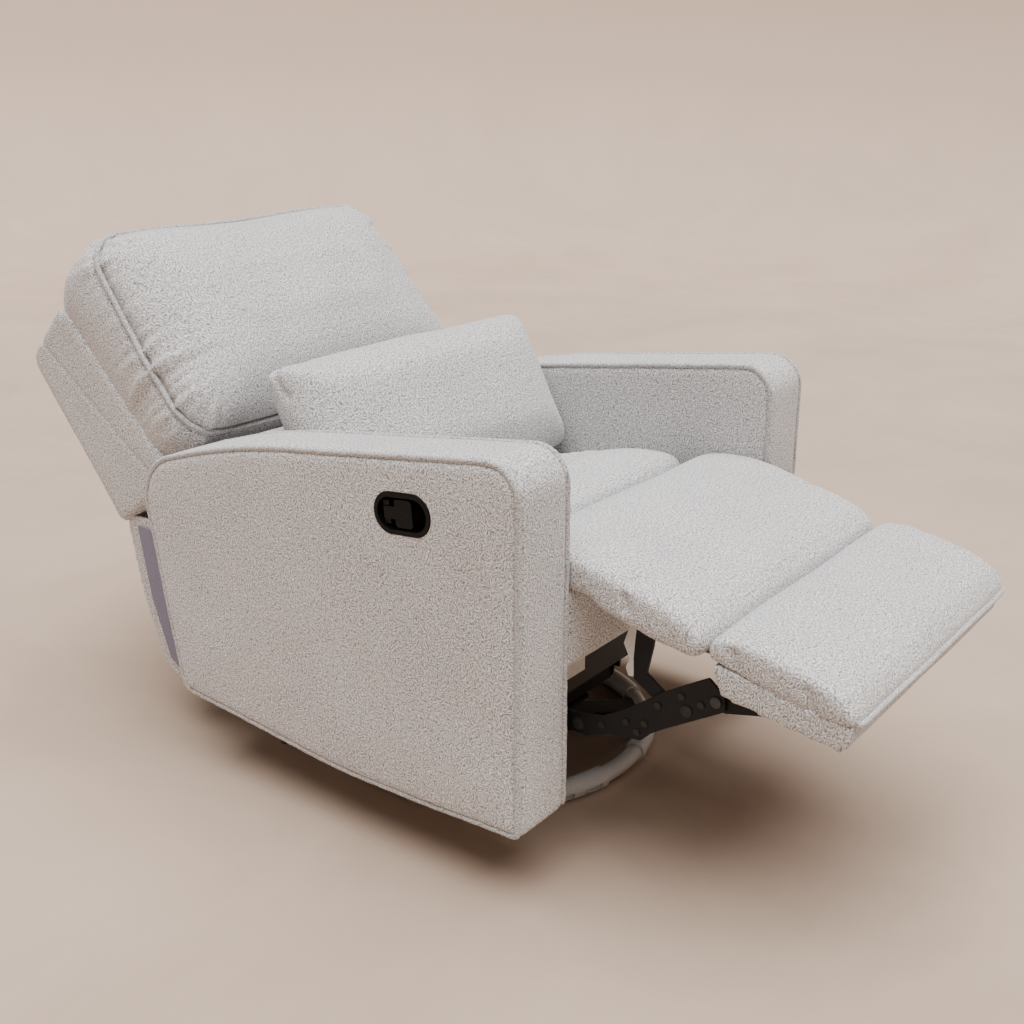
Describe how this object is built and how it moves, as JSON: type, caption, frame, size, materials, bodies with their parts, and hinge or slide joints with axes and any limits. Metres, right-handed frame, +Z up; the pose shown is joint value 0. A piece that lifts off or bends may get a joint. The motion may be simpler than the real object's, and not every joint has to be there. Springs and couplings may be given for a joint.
{
  "type": "swivel glider recliner",
  "caption": "Upholstered recliner on a swivel and glider ring base, shown reclined with the footrest out, side pull handle and a loose lumbar pillow",
  "frame": {"origin": "middle of the overall box in plan, at floor level under the glides", "axes": "+Z up, -Y to the front where the footrest comes out, -X to the arm with the handle"},
  "size_m": [0.744, 1.412, 0.7774],
  "materials": {
    "cloth": "mottled warm grey weave",
    "black_steel": "black powder coat",
    "black_plastic": "matte black",
    "grey_plastic": "light grey",
    "bright_steel": "zinc plated",
    "handle_black": "moulded black with a soft gloss",
    "ring_steel": "grey powder coat",
    "ring_plastic": "grey moulded clip",
    "wood": "plain sawn timber and plywood",
    "tape": "purple grey woven tape"
  },
  "bodies": {
    "base": {"base_ring": "ring_steel", "base_spokes": "black_steel", "base_hub": "black_steel", "base_glides": "ring_plastic"},
    "swivel_frame": {"swivel_plate": "black_steel", "swivel_channels": "black_steel", "swivel_uprights": "black_steel"},
    "front_links": {"glide_links_front": "black_steel"},
    "rear_links": {"glide_links_rear": "black_steel"},
    "seat": {"carriage_rails": "black_steel", "carriage_beam": "black_steel", "side_plates": "black_steel", "front_stretcher": "black_steel", "stretcher_clip": "grey_plastic", "seat_rails": "wood", "seat_cross_rails": "wood", "front_deck": "wood", "front_rail": "cloth", "seat_springs": "black_steel", "seat_cushion": "cloth", "front_seat_pad": "cloth", "arm_bolts": "bright_steel", "arm_cover_near": "cloth", "arm_cover_far": "cloth", "arm_frame_far": "wood", "arm_frame_near": "wood", "arm_feet": "black_plastic", "handle_bezel": "handle_black", "release_cable": "black_plastic", "pawl_pin": "bright_steel", "back_lugs": "black_steel", "rear_panel": "cloth", "rear_tapes": "tape", "flap_straps": "black_steel"},
    "back": {"back_shell": "cloth", "back_brackets": "black_steel", "back_frame": "wood", "lumbar_board": "wood", "back_cushion": "cloth", "lumbar_pad": "cloth"},
    "cushion": {"pillow": "cloth"},
    "thigh": {"thigh_links": "black_steel"},
    "link": {"ottoman_links": "black_steel", "bent_cranks": "black_steel", "crank_guards": "grey_plastic", "link_pins": "bright_steel", "link_rivets": "bright_steel"},
    "footrest": {"footrest_board": "cloth", "footrest_pad": "cloth", "footrest_brackets": "black_steel"},
    "flap": {"flap_board": "wood", "flap_pad": "cloth"},
    "handle": {"handle_paddle": "handle_black"},
    "pawl": {"release_pawl": "black_steel"}
  },
  "joints": [
    {"name": "swivel", "type": "hinge", "parent": "base", "child": "swivel_frame", "pos_m": [0, 0.00022, 0.04], "axis": [0, 0, 1], "continuous": true},
    {"name": "glide", "type": "hinge", "parent": "swivel_frame", "child": "front_links", "pos_m": [0, -0.11478, 0.216], "axis": [1, 0, 0], "range_deg": [-15, 15]},
    {"name": "carriage_level", "type": "hinge", "parent": "front_links", "child": "seat", "pos_m": [0, -0.11478, 0.092], "axis": [1, 0, 0], "range_deg": [-15.05, 15.05]},
    {"name": "rear_link_swing", "type": "hinge", "parent": "swivel_frame", "child": "rear_links", "pos_m": [0, 0.11522, 0.216], "axis": [1, 0, 0], "range_deg": [-15.05, 15.05]},
    {"name": "back_recline", "type": "hinge", "parent": "seat", "child": "back", "pos_m": [0, 0.21022, 0.32], "axis": [1, 0, 0], "range_deg": [0, 25]},
    {"name": "pillow_lean", "type": "hinge", "parent": "seat", "child": "cushion", "pos_m": [0, 0.03022, 0.352], "axis": [1, 0, 0], "range_deg": [0, 25.05]},
    {"name": "thigh_fold", "type": "hinge", "parent": "seat", "child": "thigh", "pos_m": [0, -0.19978, 0.19], "axis": [1, 0, 0], "range_deg": [0, 135.2]},
    {"name": "knee", "type": "hinge", "parent": "thigh", "child": "link", "pos_m": [0, -0.33378, 0.216], "axis": [1, 0, 0], "range_deg": [-160.95, 0]},
    {"name": "ankle", "type": "hinge", "parent": "link", "child": "footrest", "pos_m": [0, -0.52978, 0.308], "axis": [1, 0, 0], "range_deg": [0, 106.75]},
    {"name": "flap_fold", "type": "hinge", "parent": "seat", "child": "flap", "pos_m": [0, -0.36178, 0.404], "axis": [1, 0, 0], "range_deg": [0, 72.05]},
    {"name": "handle_pull", "type": "hinge", "parent": "seat", "child": "handle", "pos_m": [-0.366, -0.1309, 0.49941], "axis": [0, -0.0958, -0.9954], "range_deg": [0, 32], "stiffness_Nm_per_rad": 0.6, "springref_deg": -8.59},
    {"name": "pawl_lift", "type": "hinge", "parent": "seat", "child": "pawl", "pos_m": [0, -0.14178, 0.216], "axis": [-1, 0, 0], "range_deg": [0, 16.05]}
  ],
  "couplings": [
    {"joint": "carriage_level", "follows": "glide", "ratio": -1},
    {"joint": "rear_link_swing", "follows": "glide", "ratio": 1},
    {"joint": "pillow_lean", "follows": "back_recline", "ratio": 1},
    {"joint": "knee", "follows": "thigh_fold", "ratio": -1.1901},
    {"joint": "ankle", "follows": "thigh_fold", "ratio": 0.7892},
    {"joint": "flap_fold", "follows": "thigh_fold", "ratio": 0.53254},
    {"joint": "pawl_lift", "follows": "handle_pull", "ratio": 0.5}
  ]
}
